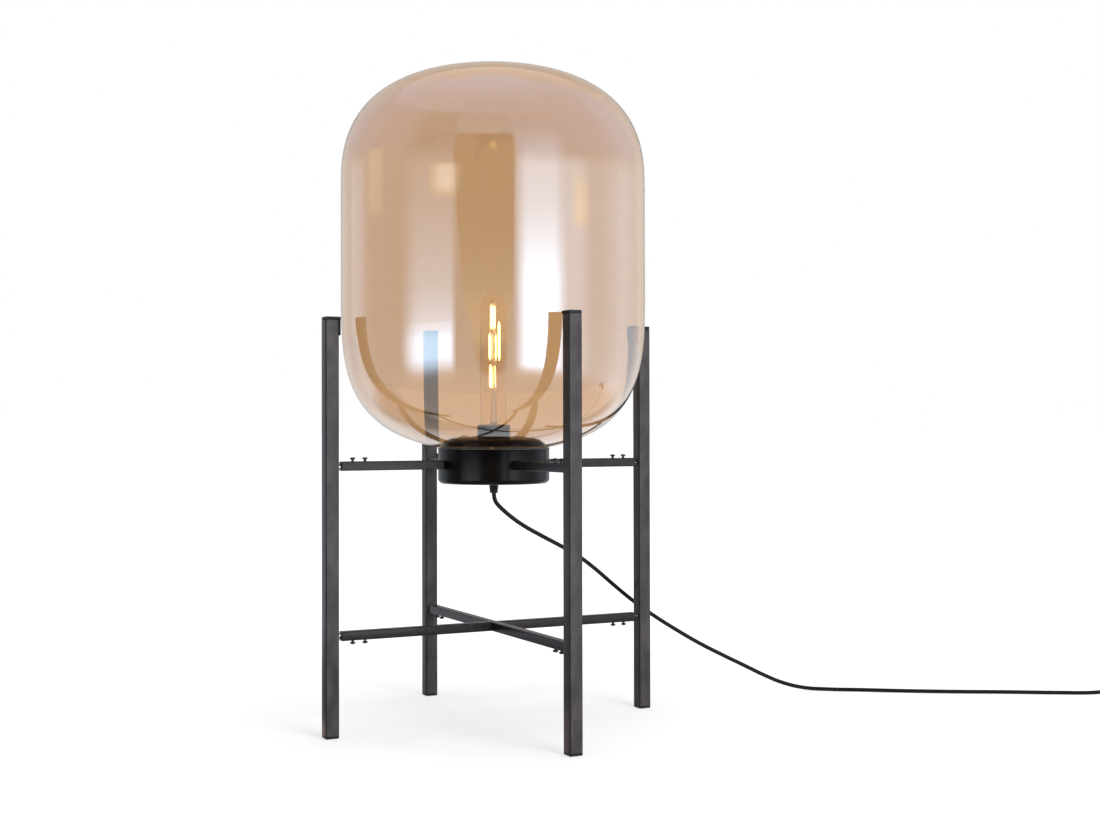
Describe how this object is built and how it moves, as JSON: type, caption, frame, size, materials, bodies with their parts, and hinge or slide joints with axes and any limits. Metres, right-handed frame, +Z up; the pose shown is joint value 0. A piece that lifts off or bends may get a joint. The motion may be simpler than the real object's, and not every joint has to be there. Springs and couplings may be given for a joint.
{
  "type": "floor lamp",
  "caption": "Floor lamp: a large lustre glass shade with a filament bulb on a round steel canister, carried by square legs with cross bars.",
  "frame": {"origin": "on the floor, on the lamp's vertical axis between the four feet", "axes": "+Z up along the lamp's axis, +X towards the right leg, +Y towards the back leg"},
  "size_m": [1.0603, 0.5106, 0.733],
  "materials": {
    "lustre_glass": "gloss",
    "canister_paint": "satin",
    "bar_steel": "satin",
    "leg_steel": "satin",
    "bright_steel": "satin",
    "screw_steel": "satin",
    "black_rubber": "matte",
    "clear_rubber": "matte",
    "holder_plastic": "matte",
    "insert_ceramic": "satin",
    "cap_brass": "gloss",
    "bulb_glass": "gloss",
    "filament": "matte",
    "cord_plastic": "satin",
    "plug_plastic": "satin"
  },
  "bodies": {
    "root": {"canister_cup": "canister_paint", "canister_lid": "canister_paint", "shade_gasket": "clear_rubber", "lampholder_shell": "holder_plastic", "lampholder_ring": "holder_plastic", "lampholder_insert": "insert_ceramic", "cord_grip": "black_rubber", "grip_nut": "bright_steel", "inner_lead": "cord_plastic", "cross_bar_left_right": "bar_steel", "cross_bar_front_back": "bar_steel", "cord_lead": "cord_plastic", "cord_coil": "cord_plastic", "switch_case": "plug_plastic", "plug": "plug_plastic", "arm_right": "bar_steel", "upper_screw_right_outer": "screw_steel", "upper_screw_right_inner": "screw_steel", "lower_screw_right_outer": "screw_steel", "lower_screw_right_inner": "screw_steel", "arm_back": "bar_steel", "upper_screw_back_outer": "screw_steel", "upper_screw_back_inner": "screw_steel", "lower_screw_back_outer": "screw_steel", "lower_screw_back_inner": "screw_steel", "arm_left": "bar_steel", "upper_screw_left_outer": "screw_steel", "upper_screw_left_inner": "screw_steel", "lower_screw_left_outer": "screw_steel", "lower_screw_left_inner": "screw_steel", "arm_front": "bar_steel", "upper_screw_front_outer": "screw_steel", "upper_screw_front_inner": "screw_steel", "lower_screw_front_outer": "screw_steel", "lower_screw_front_inner": "screw_steel"},
    "leg_right": {"leg_right": "leg_steel", "leg_cap_right": "black_rubber", "foot_glide_right": "black_rubber", "upper_rod_right": "bright_steel", "lower_rod_right": "bright_steel"},
    "leg_back": {"leg_back": "leg_steel", "leg_cap_back": "black_rubber", "foot_glide_back": "black_rubber", "upper_rod_back": "bright_steel", "lower_rod_back": "bright_steel"},
    "leg_left": {"leg_left": "leg_steel", "leg_cap_left": "black_rubber", "foot_glide_left": "black_rubber", "upper_rod_left": "bright_steel", "lower_rod_left": "bright_steel"},
    "leg_front": {"leg_front": "leg_steel", "leg_cap_front": "black_rubber", "foot_glide_front": "black_rubber", "upper_rod_front": "bright_steel", "lower_rod_front": "bright_steel"},
    "shade": {"glass_shade": "lustre_glass"},
    "bulb": {"bulb_cap": "cap_brass", "bulb_glass": "bulb_glass", "bulb_filament": "filament"},
    "rocker": {"switch_rocker": "holder_plastic"}
  },
  "joints": [
    {"name": "shade_lift", "type": "slide", "parent": "root", "child": "shade", "axis": [0, 0, 1], "range_m": [0, 0.18]},
    {"name": "bulb_lift", "type": "slide", "parent": "root", "child": "bulb", "axis": [0, 0, 1], "range_m": [0, 0.028]},
    {"name": "leg_right_slide", "type": "slide", "parent": "root", "child": "leg_right", "axis": [1, 0, 0], "range_m": [-0.0035, 0.015]},
    {"name": "leg_back_slide", "type": "slide", "parent": "root", "child": "leg_back", "axis": [0, 1, 0], "range_m": [-0.0035, 0.015]},
    {"name": "leg_left_slide", "type": "slide", "parent": "root", "child": "leg_left", "axis": [-1, 0, 0], "range_m": [-0.0035, 0.015]},
    {"name": "leg_front_slide", "type": "slide", "parent": "root", "child": "leg_front", "axis": [0, -1, 0], "range_m": [-0.0035, 0.015]},
    {"name": "rocker_tilt", "type": "hinge", "parent": "root", "child": "rocker", "pos_m": [0.78463, -0.2177, 0.0156], "axis": [0.4696, 0.8829, 0], "range_deg": [0, 16]}
  ]
}
